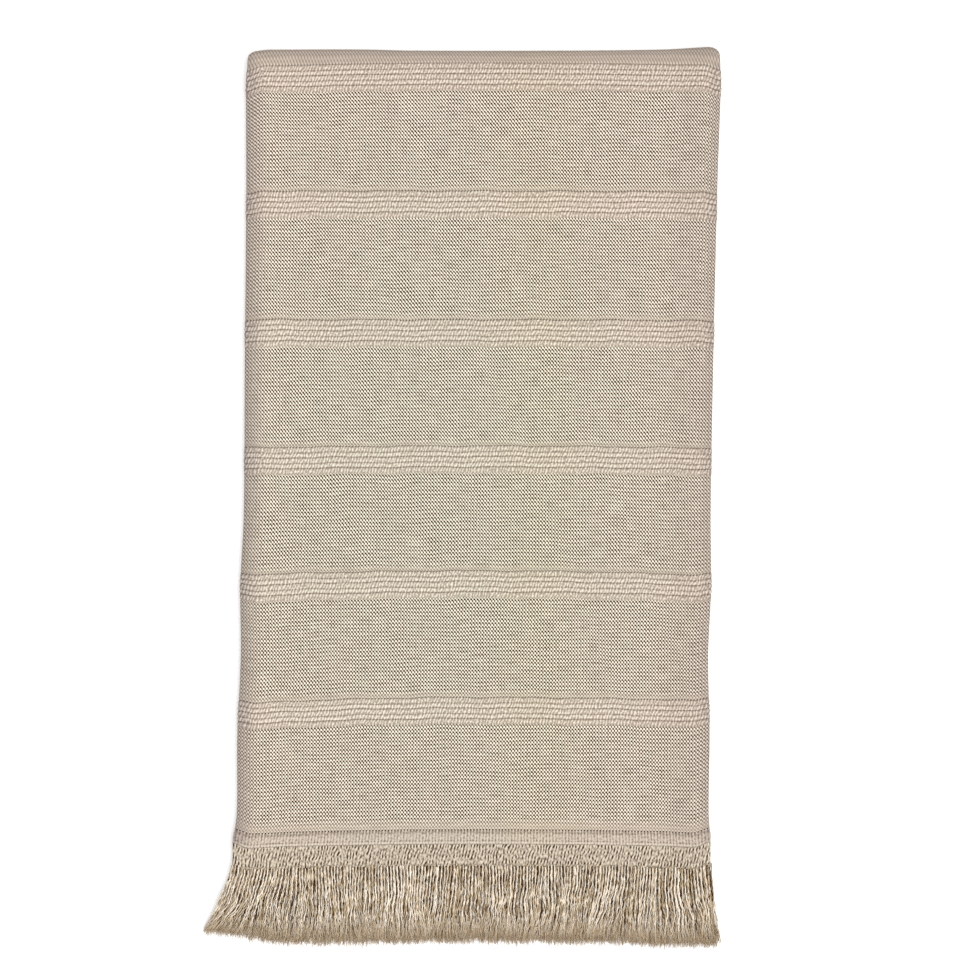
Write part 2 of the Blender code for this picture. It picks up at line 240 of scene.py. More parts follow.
def across(station, y, inset=0.0):
    """x of a station of the section, and its place between flap (0) and panel (1).

    -3 to -2 is the left flap from its free edge, -2 to -1 the left turn, -1 to 1 the panel,
    1 to 2 the right turn, and 2 to 3 the right flap.
    """
    left, right = bends(y, inset)
    if abs(station) <= 1:
        return blend(left, right, (station + 1) / 2), 1.0
    bend, side, turn = (left, -1, LEFT_TURN) if station < 0 else (right, 1, RIGHT_TURN)
    if abs(station) <= 2:
        angle = math.pi * (1.5 - abs(station))
        return bend + side * turn * math.cos(angle), (1 + math.sin(angle)) / 2
    free_edge = (left + right + side * FLAP_PARTING) / 2
    return blend(bend, free_edge, abs(station) - 2), 0.0


def side_gap(x, y):
    """Height from flap to panel, between the middles of the cloth."""
    left, right = bends(y)
    inside = np.minimum(x - left, right - x)
    return blend(SIDE_LOOP, LAYER_PITCH, ease(inside / SIDE_REACH))


def flap_gap(x, y):
    """Height from the lower flaps to the upper ones, between the middles of the cloth."""
    across_wave = np.sin(math.tau * x / SWELL_ACROSS + SWELL_SHIFT)
    swell = across_wave * np.sin(math.tau * y / SWELL_ALONG)
    closed = LAYER_PITCH + SWELL * (1 + swell) / 2
    return blend(TOP_LOOP, closed, ease((TURN_Y - y) / TOP_REACH))


def droop(course, x):
    """How far a course of the weave hangs below its height in the middle."""
    left, right = bends(course.y)
    return np.where(x < 0, course.left * (x / left) ** 2, course.right * (x / right) ** 2)


def turn_start(x):
    """y where the fold across begins."""
    rise = read(TOP_EDGE, "rise", x)
    return FOLD_Y + rise - CLOTH / 2 - TOP_LOOP / 2 - side_gap(x, TURN_Y)


def wander(x, y):
    """How far a course strays, which fades out towards the fold and the hem."""
    angles = [math.tau * x / wave.length + wave.shift * y for wave in WANDER_WAVES]
    stray = sum(wave.share * np.sin(angle) for wave, angle in zip(WANDER_WAVES, angles))
    return WANDER * stray * ease((TURN_Y - y) / WANDER_FADE) * ease(y / WANDER_FADE)


def drift(x, y):
    """How far the courses climb, low on the towel, or sink, high on it, at the long folds."""
    inside = np.minimum(x - read(EDGES, "left", y), read(EDGES, "right", y) - x)
    near = 1 - ease(inside / DRIFT_REACH)
    return DRIFT * (DRIFT_MIDDLE - y) * near * ease((TURN_Y - y) / TOP_BAND_DROP)


def follow_weave(x, y):
    """y at this x of the course that lies at height y in the middle."""
    heights = [course.y for course in (HEM, *BANDS)] + [TURN_Y]
    offsets = [-droop(course, x) for course in (HEM, *BANDS)] + [turn_start(x) - TURN_Y]
    offset = offsets[0]
    for low, high, first, second in zip(heights, heights[1:], offsets, offsets[1:]):
        share = (y - low) / (high - low)
        offset = np.where(y > low, blend(first, second, np.clip(share, 0, 1)), offset)
    return y + offset


def middle_of_cloth(station, leg, at):
    """Points in the middle of the cloth's thickness.

    at is y on the two halves, and the angle turned through on the fold across.
    """
    over = leg == OVER
    half_turn = np.where(over, (1 - np.cos(at)) / 2, np.where(leg == LOWER, 1.0, 0.0))
    y = np.where(over, TURN_Y, at)
    x, round_turn = across(station, y, LOWER_INSET * half_turn)
    side, flaps = side_gap(x, y), flap_gap(x, y)
    radius = TOP_LOOP / 2 + round_turn * side
    fold_y = turn_start(x) + radius * np.sin(at)
    fold_z = CLOTH / 2 + side + TOP_LOOP / 2 + radius * np.cos(at)
    upper_z = CLOTH / 2 + side + flaps + round_turn * side
    lower_z = CLOTH / 2 + side - round_turn * side
    flat_y = follow_weave(x, y) + (wander(x, y) + drift(x, y)) * (leg == UPPER)
    flat_z = np.where(leg == UPPER, upper_z, lower_z)
    return np.stack([x, np.where(over, fold_y, flat_y), np.where(over, fold_z, flat_z)], -1)


def outward(station, leg, at):
    """Unit normals on the side of the cloth that faces out of the folded towel."""
    step = np.where(leg == LOWER, -NUDGE, NUDGE)
    low, high = max(station - NUDGE, -3), min(station + NUDGE, 3)
    wider = middle_of_cloth(high, leg, at) - middle_of_cloth(low, leg, at)
    farther = middle_of_cloth(station, leg, at + step) - middle_of_cloth(station, leg, at - step)
    normal = np.cross(wider, farther)
    return normal / np.linalg.norm(normal, axis=-1, keepdims=True)


def on_skin(station, leg, at, rise, outside, thickness=CLOTH):
    """Points on the outside or the inside of the cloth."""
    off = thickness / 2 + rise if outside else np.full(len(rise), -thickness / 2)
    return middle_of_cloth(station, leg, at) + outward(station, leg, at) * off[:, None]


def section_stations():
    """Stations of the section, and those among them that the hidden sides use."""
    panel = [-1 + 2 * i / PANEL_STEPS for i in range(PANEL_STEPS + 1)]
    turn = [1 + i / TURN_STEPS for i in range(1, TURN_STEPS + 1)]
    coarse_panel = panel[::COARSE_PANEL]
    coarse_turn = turn[COARSE_TURN - 1 :: COARSE_TURN]
    flap = [3 - station for station in reversed(coarse_panel) if 0 < station < 1] + [3]
    stations = [-s for s in reversed(turn + flap)] + panel + turn + flap
    hidden = [-s for s in reversed(coarse_turn + flap)] + coarse_panel + coarse_turn + flap
    return stations, set(hidden)


def crest_at(share):
    """0 in a groove to 1 on a rib's crest, round across the rib."""
    return math.sin(math.pi * share) ** RIB_ROUNDNESS


def band_rows(leg, top, steps):
    """Rows of one band, from its lowest groove to just over the open line at its top."""
    open_line = 1.0 if top < BANDS[-1].y else TOP_OPEN_LINE
    rows, y = [], top - BAND_DEPTH
    rows.append(Row(leg, y - 2 * OPEN_LINE))
    for rib in reversed(BAND_RIBS):
        for step in range(steps):
            lowest = not step and rib is BAND_RIBS[-1]
            crest = crest_at(step / steps) * rib.share
            rise = RIB_RISE * crest if leg == UPPER else -PRESSED_GROOVE * (1 - crest)
            here = y + rib.width * step / steps
            shown = max(crest, rib.filled)
            ribbed = 0.5 if lowest else 1
            rows.append(Row(leg, here, step > 0, rise=rise, crest=shown, ribbed=ribbed))
        y += rib.width
    rows.append(Row(leg, top, crest=0.2, ribbed=0.6, dotted=open_line))
    rows.append(Row(leg, top + OPEN_LINE, dense=0.8))
    rows.append(Row(leg, top + BAND_FADE))
    return rows


def hem_rows(leg, edge):
    """Rows of a hem, upwards from where the weave ends."""
    low, high = edge + HEM_RIB_LOW, edge + HEM_RIB_HIGH
    rise = HEM_RIB_RISE if leg == UPPER else 0.0
    line = edge + HEM_LINE_Y
    return [
        Row(leg, edge, dense=1, crest=0.8, ribbed=1),
        Row(leg, edge + HEM_EDGE_Y, True, dense=1, crest=1.15, ribbed=1),
        Row(leg, low, True, dense=1, crest=0.5, ribbed=1),
        Row(leg, low + HEM_RIB_SLOPE, True, rise=rise, dense=1, crest=0.8, ribbed=1),
        Row(leg, high - HEM_RIB_SLOPE, True, rise=rise, dense=1, crest=0.8, ribbed=1),
        Row(leg, high, True, dense=1, crest=0.5, ribbed=1),
        Row(leg, line - OPEN_LINE, True, dense=1, crest=0.6, ribbed=1),
        Row(leg, line, True, dense=1, crest=0.7, ribbed=0.7, dotted=1),
        Row(leg, line + OPEN_LINE, dense=0.9),
        Row(leg, line + HEM_FADE),
    ]


def fill(leg, low, high):
    """Rows of plain weave between two heights, without the two ends."""
    steps = max(1, round((high - low) / PLAIN_STEP))
    return [Row(leg, blend(low, high, i / steps), fine=i % 2 > 0) for i in range(1, steps)]


def half_rows(leg, edge, tops, steps, end):
    """Rows of one half, from its hem up to the fold across."""
    rows = hem_rows(leg, edge)
    for top in tops:
        band = band_rows(leg, top, steps)
        rows += fill(leg, rows[-1].at, band[0].at) + band
    if rows[-1].at < end:
        rows += fill(leg, rows[-1].at, end)
    return [row for row in rows if row.at < end]


def towel_rows():
    """Rows along the whole cloth, from the upper hem over the fold to the lower hem."""
    tops = [course.y for course in BANDS]
    upper = half_rows(UPPER, HEM.y, tops, RIB_STEPS, TURN_Y)
    lower = half_rows(LOWER, -LOWER_OVERHANG, LOWER_BAND_TOPS[::-1], PRESSED_STEPS, TURN_Y)
    turns = [(math.pi * i / TOP_STEPS, i % COARSE_TOP > 0) for i in range(TOP_STEPS + 1)]
    over = [Row(OVER, angle, fine, dense=1) for angle, fine in turns]
    return [*upper, *over, *reversed(lower)]


def along_cloth(rows):
    """Distance of each row along the cloth from the upper hem."""
    over_length = math.pi * TURN_RADIUS
    places = {
        UPPER: lambda at: at,
        OVER: lambda at: TURN_Y + over_length * at / math.pi,
        LOWER: lambda at: TURN_Y + over_length + TURN_Y - at,
    }
    return np.array([places[row.leg](row.at) for row in rows])


def across_cloth(stations):
    """Distance of each station across the cloth from its left selvedge."""
    leg, at = np.array([UPPER]), np.array([MIDDLE_Y])
    line = np.concatenate([middle_of_cloth(station, leg, at) for station in stations])
    steps = np.linalg.norm(np.diff(line, axis=0), axis=1)
    return np.concatenate([[0.0], np.cumsum(steps)])


def stretches(line, shared):
    """A line of points {place: point}, cut at the places that it shares with another."""
    cuts = [k for k, place in enumerate(line) if place in shared]
    points = list(line.values())
    return [points[first : last + 1] for first, last in zip(cuts, cuts[1:])]


def join(first, second):
    """Faces between two lines of points, split only where both have a point."""
    shared = first.keys() & second.keys()
    pairs = zip(stretches(first, shared), stretches(second, shared))
    return [[*there, *reversed(back)] for there, back in pairs]


def centring_move(points):
    """How far points have to move for their footprint to be centred as the frame's is."""
    low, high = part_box("towel")
    middle = (np.array(low) + np.array(high)) / 2
    return middle[:2] - (points.min(0) + points.max(0))[:2] / 2


def painted_fold_shade(x, y):
    """Painted shade near the folds: 1 at the edges of the folded towel to 0 a little inside them.
    """
    left, right = read(EDGES, "left", y), read(EDGES, "right", y)

    def shaded(inside, shading):
        return sum(part.depth * (1 - ease(inside / part.reach)) for part in shading)

    sides = np.maximum(shaded(x - left, LEFT_SHADING), shaded(right - x, RIGHT_SHADING))
    return np.maximum(sides, shaded(FOLD_Y - y, TOP_SHADING))


def unevenness(u, v):
    """How far from even a rib's rise is at a place on the flat cloth."""
    sway = RIB_SWAY * np.sin(RIB_SWAY_RATE * u)
    return RIB_UNEVEN * np.sin(math.tau * u / RIB_UNEVEN_LENGTH + RIB_SHIFT * v + sway)


WEAVE = ("crest", "ribbed", "dotted", "dense")  # what the mesh stores of each row


def build_cloth(material):
    """The whole cloth as one closed mesh, and how far it moved to fit the frame."""
    (stations, hidden), rows = section_stations(), towel_rows()
    legs, ats = np.array([row.leg for row in rows]), np.array([row.at for row in rows])
    us, vs = across_cloth(stations), along_cloth(rows)
    points, uvs, weave, faces, sides, count = [], [], [], [], [], 0
    for outside in (True, False):
        columns = {}
        for station, u in zip(stations, us):
            if not outside and station not in hidden:
                continue
            fine = outside and abs(station) <= 2
            kept = [i for i, row in enumerate(rows) if fine or not row.fine]
            fade = min(1.0, 2 * across(station, np.array([TURN_Y]))[1])
            rise = np.array([rows[i].rise for i in kept]) * (1 + unevenness(u, vs[kept])) * fade
            line = on_skin(station, legs[kept], ats[kept], rise, outside)
            points.append(line)
            uvs.append(np.stack([np.full(len(kept), u), vs[kept]], 1))
            woven = np.array([[getattr(rows[i], name) for name in WEAVE] for i in kept])
            weave.append(np.hstack([woven, painted_fold_shade(line[:, 0], line[:, 1])[:, None]]))
            columns[station] = dict(zip(kept, range(count, count + len(kept))))
            count += len(kept)
        lines = list(columns.values())
        for first, second in zip(lines, lines[1:]):
            faces += join(first, second)
        sides.append(columns)
    outer, inner = sides
    for free_edge in (-3, 3):
        faces += join(outer[free_edge], inner[free_edge])
    for hem in (0, len(rows) - 1):
        edges = [{station: column[hem] for station, column in side.items()} for side in sides]
        faces += join(*edges)
    points = np.concatenate(points)
    shift = np.array([*centring_move(points), 0.0])
    cloth = make_piece("towel_cloth", points + shift, faces, material)
    lay_uv(cloth, np.concatenate(uvs))
    # The last of these, turned, is the painted shade near the folds
    for name, values in zip((*WEAVE, "turned"), np.concatenate(weave).T):
        attribute = cloth.data.attributes.new(name, "FLOAT", "POINT")
        attribute.data.foreach_set("value", values.astype(np.float32))
    return cloth, shift


def lay_uv(piece, uvs):
    """Gives each corner of the piece the place of its point on the flat cloth, in metres."""
    mesh = piece.data
    corners = np.empty(len(mesh.loops), np.int32)
    mesh.loops.foreach_get("vertex_index", corners)
    layer = mesh.uv_layers.new(name="cloth")
    layer.uv.foreach_set("vector", uvs[corners].astype(np.float32).ravel())


def make_piece(name, points, faces, material):
    """A named object of the points and faces, with its faces pointing out."""
    mesh = bpy.data.meshes.new(name)
    mesh.from_pydata(points.tolist(), [], faces)
    work = bmesh.new()
    work.from_mesh(mesh)
    bmesh.ops.recalc_face_normals(work, faces=work.faces)
    work.to_mesh(mesh)
    work.free()
    mesh.shade_smooth()
    mesh.set_sharp_from_angle(angle=SHARP_ANGLE)
    mesh.materials.append(material)
    piece = bpy.data.objects.new(name, mesh)
    bpy.context.scene.collection.objects.link(piece)
    return piece


def build_header(fringe, shift, material):
    """The loosely woven strip between a hem and the roots of its fringe."""
    stations, _ = section_stations()
    us, depths = across_cloth(stations), np.linspace(HEADER_PARTING, HEADER_DEPTH, HEADER_STEPS + 1)
    leg, at, flat = np.array([fringe.leg]), np.array([fringe.hem_y]), np.zeros(1)
    points, uvs = [], []
    for outside in (True, False):
        line = [on_skin(station, leg, at, flat, outside, HEADER_CLOTH)[0] for station in stations]
        for depth in depths:
            points.append(np.array(line) - np.array([0.0, depth, 0.0]))
            uvs.append(np.stack([us, np.full(len(us), -depth)], 1))
    width, faces = len(stations), []
    lines = [dict(enumerate(range(i * width, (i + 1) * width))) for i in range(len(points))]
    outer, inner = lines[: HEADER_STEPS + 1], lines[HEADER_STEPS + 1 :]
    for side in (outer, inner):
        for first, second in zip(side, side[1:]):
            faces += join(first, second)
    faces += join(outer[0], inner[0]) + join(outer[-1], inner[-1])
    for end in (0, width - 1):
        faces += join(*({i: line[end] for i, line in enumerate(side)} for side in (outer, inner)))
    piece = make_piece(fringe.name + "_header", np.concatenate(points) + shift, faces, material)
    lay_uv(piece, np.concatenate(uvs))
    return piece


def fringe_underside(x, y, leg, round_turn):
    """Height of the underside of the fringe. Its layers sink together towards the tips."""
    sunk = ease((SETTLE_START - y) / SETTLE_REACH)
    side = blend(side_gap(x, HEM.y), TIP_PITCH, sunk)
    flaps = blend(flap_gap(x, HEM.y), TIP_PITCH, sunk)
    if leg == UPPER:
        return side + flaps + round_turn * side
    return side - round_turn * side


def fringe_guide(fringe, shift):
    """The sheet that the strands of one fringe follow, from their roots to their tips."""
    stations, _ = section_stations()
    leg, at = np.array([fringe.leg]), np.array([fringe.hem_y])
    us = across_cloth(stations)
    points, uvs = [], []
    shares = np.linspace(0, 1, GUIDE_ROWS)
    for station, u in zip(stations, us):
        root = middle_of_cloth(station, leg, at)[0]
        root[1] -= HEADER_DEPTH - ROOT_OVERLAP
        round_turn = across(station, at)[1]
        length = root[1] - fringe.tip_y + TIP_BOW * (root[0] / EDGES[0].right) ** 2
        reach = read(FRINGE_LEAN, "reach", root[0])
        fall = math.sqrt(length**2 - (SWING * reach) ** 2)
        x = root[0] + reach * shares**LEAN_POWER
        y = root[1] - fall * shares
        z = fringe_underside(x, y, fringe.leg, round_turn) + CLOTH / 2
        points.append(np.stack([x, y, z], 1) + shift)
        uvs.append(np.stack([np.full(GUIDE_ROWS, u / us[-1]), shares], 1))
    faces = []
    for i in range(len(stations) - 1):
        for j in range(GUIDE_ROWS - 1):
            a, b = i * GUIDE_ROWS + j, (i + 1) * GUIDE_ROWS + j
            faces.append((a, a + 1, b + 1, b))
    mesh = bpy.data.meshes.new(fringe.name + "_guide")
    mesh.from_pydata(np.concatenate(points).tolist(), [], faces)
    guide = bpy.data.objects.new(mesh.name, mesh)
    bpy.context.scene.collection.objects.link(guide)
    mesh.shade_smooth()
    lay_uv(guide, np.concatenate(uvs))
    return guide, us[-1]


# Noise: how many patches to each unit across and along, how deep in the noise it is read, how
# detailed it is, and how far it moves things
Noise = namedtuple("Noise", "across along depth detail reach", defaults=(0.0, 1.0, 1.0))


def maths(operation, swapped=False):
    """A method that adds a Math node to the tree of its wire."""

    def method(wire, *others):
        values = [*others, wire] if swapped else [wire, *others]
        return wire.tree.add("ShaderNodeMath", {"operation": operation}, dict(enumerate(values)))

    return method


class Wire:
    """A socket whose arithmetic adds Math nodes to its tree."""

    def __init__(self, tree, socket):
        self.tree, self.socket = tree, socket

    __add__ = __radd__ = maths("ADD")
    __sub__ = maths("SUBTRACT")
    __rsub__ = maths("SUBTRACT", swapped=True)
    __mul__ = __rmul__ = maths("MULTIPLY")
    __truediv__ = maths("DIVIDE")
    __pow__ = maths("POWER")
    __abs__ = maths("ABSOLUTE")
    cos = maths("COSINE")
    sin = maths("SINE")
    least = maths("MINIMUM")
    most = maths("MAXIMUM")

    def ease(self, low=0.0, high=1.0):
        """0 to 1 with level ends, as the value goes from low to high."""
        settings = {"interpolation_type": "SMOOTHSTEP"}
        values = {"Value": self, "From Min": low, "From Max": high}
        return self.tree.add("ShaderNodeMapRange", settings, values)

    def swing(self, reach):
        """A value from 0 to 1, as one that goes as far below 0 as above it."""
        return (self - 0.5) * reach

    def output(self, name):
        """Another output of the node that this wire comes from."""
        return Wire(self.tree, self.socket.node.outputs[name])


class Tree:
    """Adds nodes to the tree of a material or a modifier."""

    def __init__(self, tree):
        self.tree = tree

    def add(self, kind, settings=None, values=None, output=0):
        """A node of that type. Its settings come first, then its sockets' values or wires."""
        node = self.tree.nodes.new(kind)
        for name, value in (settings or {}).items():
            setattr(node, name, value)
        for name, value in (values or {}).items():
            if isinstance(value, Wire):
                self.tree.links.new(value.socket, node.inputs[name])
            else:
                node.inputs[name].default_value = value
        return Wire(self, node.outputs[output]) if len(node.outputs) else None

    def add_output(self, solid):
        """Ends a modifier's tree with this geometry."""
        self.add("NodeGroupOutput", values={"Geometry": solid})

    def vector(self, x, y, z=0.0):
        return self.add("ShaderNodeCombineXYZ", values={"X": x, "Y": y, "Z": z})

    def parts(self, vector):
        """x and y of a vector."""
        x = self.add("ShaderNodeSeparateXYZ", values={"Vector": vector})
        return x, x.output("Y")

    def noise(self, x, y, kind, depth=None):
        """Soft noise of that kind, from 0 to 1."""
        depth = kind.depth if depth is None else depth
        place = self.vector(x * kind.across, y * kind.along, depth)
        values = {"Vector": place, "Scale": 1.0, "Detail": kind.detail}
        return self.add("ShaderNodeTexNoise", values=values)

    def stray(self, x, y, kind):
        """The same noise about 0, as strong as its reach."""
        return self.noise(x, y, kind).swing(kind.reach)

    def mix(self, share, first, second, how="MIX"):
        """A colour between two, by share."""
        settings = {"data_type": "RGBA", "blend_type": how}
        values = {0: share, 6: as_colour(first), 7: as_colour(second)}
        return self.add("ShaderNodeMix", settings, values, output=2)

    def tint(self, colour, share, first, second):
        """The colour times one that lies between two, by share."""
        return self.mix(1.0, colour, self.mix(share, first, second), "MULTIPLY")

    def cotton(self, light, deep, mean, pale, mean_at):
        """Deep to mean colour as light goes from 0 to mean_at, and then to the pale one at 1."""
        colour = self.mix(light.ease(0.0, mean_at), deep, mean)
        return self.mix(light.ease(PALE_FROM, 1.0), colour, pale)

    def read(self, name):
        """A number stored with the mesh."""
        return self.add("ShaderNodeAttribute", {"attribute_name": name}, output="Fac")

    def on_cloth(self):
        """Where a point lies across and along the flat cloth, in metres."""
        return self.parts(self.add("ShaderNodeUVMap", {"uv_map": "cloth"}))


def as_colour(colour):
    return colour if isinstance(colour, Wire) else (*colour, 1.0)


def shade(red, green, blue):
    """The linear colour of an 8-bit one."""
    return tuple(((c / 255 + 0.055) / 1.055) ** 2.4 for c in (red, green, blue))


# Cotton, which hardly shines
CLOTH_ROUGH, HEADER_ROUGH, YARN_ROUGH = 0.85, 0.90, 0.95
SHINE = 0.03
PALE_FROM = 0.45  # light at which the mean colour starts to turn pale
WHITE, BLACK = (1.0, 1.0, 1.0), (0.0, 0.0, 0.0)


def new_material(name, roughness):
    """A cotton material with its constants set, its shader node and its tree."""
    material = bpy.data.materials.new(name)
    material.use_nodes = True
    shader = material.node_tree.nodes["Principled BSDF"]
    shader.inputs["Roughness"].default_value = roughness
    shader.inputs["Specular IOR Level"].default_value = SHINE
    return material, shader, Tree(material.node_tree)


def connect(tree, shader, colour, height):
    """Feeds the shader its colour, and a normal from a height in metres."""
    bump = tree.add("ShaderNodeBump", values={"Strength": 1.0, "Distance": 1.0, "Height": height})
    tree.tree.links.new(colour.socket, shader.inputs["Base Color"])
    tree.tree.links.new(bump.socket, shader.inputs["Normal"])


# Plain weave: the pattern of its threads, with painted highlight where they lie on top and painted
# shade where they dip
THREAD_TOP, THREAD_SIDE, THREAD_DIP = shade(254, 248, 229), shade(178, 165, 141), shade(18, 13, 7)
THREAD_SIDE_AT = 0.55  # light at which a thread shows the colour of its side
WARP_STRAY, WEFT_STRAY = Noise(14, 14, reach=2.2), Noise(11, 11, reach=1.6)  # in threads
SLANT, LEAST_SLANT = 0.22, 0.02  # share of the weave that reads as slanting
SLANT_FULL_AT = 0.48  # it grows from the hem up to here
SLANT_PATCHES = Noise(6, 6, depth=18, reach=0.16)
EVERY_OTHER_ROW, EVERY_OTHER_THREAD = 0.25, 0.12  # these lie higher, as a share of the weave
ROW_TURN, THREAD_TURN = 0.375, 0.84  # how far round their repeat they are turned, in radians
THREAD_TONE = Noise(0.45, 0.03, detail=0.0, reach=0.13)  # each thread differs a little
ROW_TONE = Noise(0.03, 0.45, depth=5, detail=0.0, reach=0.22)
LIT = (0.06, 0.94)  # threads grow lighter between these two heights


def weave_light(tree, u, v):
    """Plain weave, from 0 where a thread dips to 1 on the threads on top; the colour paints shade
    at 0 and highlight at 1.
    """
    warp = (u / WARP_PITCH + tree.stray(u, v, WARP_STRAY)) * math.pi
    weft = (v / WEFT_PITCH + tree.stray(v, u, WEFT_STRAY)) * math.pi
    patches = tree.noise(u, v, SLANT_PATCHES) * SLANT_PATCHES.reach
    slant = v.ease(0.0, SLANT_FULL_AT) * SLANT + patches + LEAST_SLANT
    over = warp.cos() * weft.cos() * (1 - slant) + (warp + weft).cos() * slant
    over = over + (weft + ROW_TURN).cos() * EVERY_OTHER_ROW
    over = over + (warp + THREAD_TURN).cos() * EVERY_OTHER_THREAD
    thread, row = tree.stray(warp, weft, THREAD_TONE), tree.stray(warp, weft, ROW_TONE)
    return (over * 0.5 + 0.5 + thread + row).ease(*LIT)


# Where the threads are pressed together, in patches, and with the painted shade near the folds:
# there the weave fades into one colour
WEAVE_CALM = shade(193, 183, 163)
DENSE_CALM, FOLD_SHADE_CALM, PATCH_CALM, MOST_CALM = 0.7, 0.4, 0.08, 0.7
CALM_PATCH = (0.5, 0.85)  # the patches that are calmer, as a range of the noise

# Ribs: short threads in slanting strokes, a painted highlight on each crest, painted shade in
# grooves
RIB_LIGHT, RIB_MEAN, RIB_GROOVE = shade(238, 231, 213), shade(165, 153, 135), shade(99, 84, 73)
STROKE_PITCH, STROKE_SLANT = 2 * WARP_PITCH, 0.0090
STROKE_SWAY = Noise(120, 120, depth=480, reach=1.5)
SPECKS = Noise(620, 420, depth=2, reach=1.5)
BLOTCHES = Noise(210, 300, depth=6, reach=0.8)
STROKES_FROM, STROKE_LIGHT = 0.20, 1.6  # strokes show where the blotches are above this
CREST_LIGHT, MEAN_STROKE, MEAN_CREST, RIB_BASE, RIB_FULL = 0.36, 0.45, 0.45, 0.21, 0.80
GROOVE_EDGE, GROOVE_DEPTH = 2.1, 0.45  # how narrow and how dark the grooves are


def rib_colour(tree, crest, stroke, speck, blotch):
    """Short light threads on a rib, painted highlight on its crest, painted shade in its edge
    grooves.
    """
    lively = (blotch - STROKES_FROM).most(0.0) * STROKE_LIGHT
    bright = (crest - MEAN_CREST) * CREST_LIGHT + (stroke - MEAN_STROKE) * lively
    bright = bright + speck.swing(SPECKS.reach) + RIB_BASE
    rib = tree.mix(bright.ease(0.0, RIB_FULL), RIB_MEAN, RIB_LIGHT)
    depth = GROOVE_DEPTH + (1 - stroke) * GROOVE_DEPTH + blotch.swing(BLOTCHES.reach)
    groove = (1 - crest * GROOVE_EDGE).most(0.0) * depth
    return tree.mix(groove.least(1.0), rib, RIB_GROOVE)


# Hem: dense cloth with its threads running down it
HEM_LIGHT, HEM_DEEP = shade(212, 203, 185), shade(128, 117, 99)
HEM_SWAY, HEM_CREST, HEM_CREST_LIGHT, HEM_THREAD, HEM_BASE = 0.12, 0.75, 0.8, 0.22, 0.57


def hem_colour(tree, crest, threads, speck):
    """Dense cloth, darker along its threads, and with painted shade in the dips of its ridges."""
    light = (crest - HEM_CREST) * HEM_CREST_LIGHT - threads * HEM_THREAD
    light = light + speck.swing(SPECKS.reach) + HEM_BASE
    return tree.mix(light.ease(), HEM_DEEP, HEM_LIGHT)


# Painted tints of the light that lie over the whole towel
MIDDLE_TINT, ROSY = (1.0, 1.0, 1.01), (1.034, 0.976, 1.008)
ROSY_X, ROSY_REACH = -0.02, (0.276, 0.409)  # where the rosy tint starts, and how far it grows
YELLOW_LIGHT_TINT = (1.0, 1.0, 0.960)  # down a strip beside the middle
STRIP_X, STRIP_HALF = 0.077, 0.075


def tint_towel(tree, colour):
    """Painted tints of the light: a little rosier towards the edges, and a little yellower down a
    strip.
    """
    x, y = tree.parts(tree.add("ShaderNodeTexCoord", output="Object"))
    across, along = ROSY_REACH
    rosy = (((x - ROSY_X) / across) ** 2 + (y / along) ** 2).least(1.0)
    yellow_light = 1 - abs(x - STRIP_X).ease(0.0, STRIP_HALF)
    colour = tree.tint(colour, rosy, MIDDLE_TINT, ROSY)
    return tree.tint(colour, yellow_light, WHITE, YELLOW_LIGHT_TINT)


# Cloth
PATCHES = Noise(26, 26, depth=208, detail=3.0)
PATCH_RANGE, PATCH_TONE = (0.25, 0.75), 0.03
RIBBED_RANGE = (0.1, 0.7)  # where plain weave gives way to a rib
# The holes of a dotted line, dark with the painted shade seen through them
OPEN_HOLE = shade(34, 24, 17)  # between the threads of a dotted line
HOLE_RANGE, DOTTED_FROM, DOTTED_OVER = (-0.1, 0.6), 0.15, 0.5
BAND_HOLE, MORE_IN_HEM = 0.55, 0.45  # how dark the holes are
# Painted shade near the folds, as what a fold leaves of the light
FOLD_SHADE_TINT = (0.695, 0.682, 0.72)  # what a fold leaves of the light
WEAVE_RELIEF, HOLE_RELIEF = 0.00016, 0.0003
STROKE_RELIEF, SPECK_RELIEF = 0.00006, 0.00012


def cloth_material():
    """Plain weave of cream threads with painted shade in the gaps, smoother on the ribs and the
    hem.
    """
    material, shader, tree = new_material("cotton_plain_weave", CLOTH_ROUGH)
    u, v = tree.on_cloth()
    crest, ribbed, dotted, dense, turned = [tree.read(name) for name in (*WEAVE, "turned")]
    patch, light = tree.noise(u, v, PATCHES), weave_light(tree, u, v)
    calm = dense * DENSE_CALM + turned * FOLD_SHADE_CALM + patch.ease(*CALM_PATCH) * PATCH_CALM
    weave = tree.cotton(light, THREAD_DIP, THREAD_SIDE, THREAD_TOP, THREAD_SIDE_AT)
    weave = tree.mix(calm.least(MOST_CALM), weave, WEAVE_CALM)

    sway = tree.stray(u, v, STROKE_SWAY)
    speck, blotch = tree.noise(u, v, SPECKS), tree.noise(u, v, BLOTCHES)
    stroke = ((u / STROKE_PITCH - v / STROKE_SLANT + sway) * math.tau).cos() * 0.5 + 0.5
    threads = ((u / (2 * WARP_PITCH) + sway * HEM_SWAY) * math.tau).cos()
    rib = rib_colour(tree, crest, stroke, speck, blotch)
    rib = tree.mix(dense, rib, hem_colour(tree, crest, threads, speck))
    colour = tree.mix(ribbed.ease(*RIBBED_RANGE), weave, rib)
    holes = (dotted - DOTTED_FROM).ease(0.0, DOTTED_OVER) * threads.ease(*HOLE_RANGE)
    holes = holes * (dense * MORE_IN_HEM + BAND_HOLE)
    colour = tree.mix(holes, colour, OPEN_HOLE)
    # The painted shade near the folds darkens the colour, before the painted tints of the light
    colour = tint_towel(tree, tree.tint(colour, turned, WHITE, FOLD_SHADE_TINT))
    tone = patch.ease(*PATCH_RANGE) * PATCH_TONE + (1 - PATCH_TONE)
    colour = tree.tint(colour, tone, BLACK, WHITE)

    weave_height = light * WEAVE_RELIEF * (1 - ribbed)
    rib_height = (stroke * STROKE_RELIEF + speck * SPECK_RELIEF) * ribbed
    connect(tree, shader, colour, weave_height + rib_height - holes * HOLE_RELIEF)
    return material


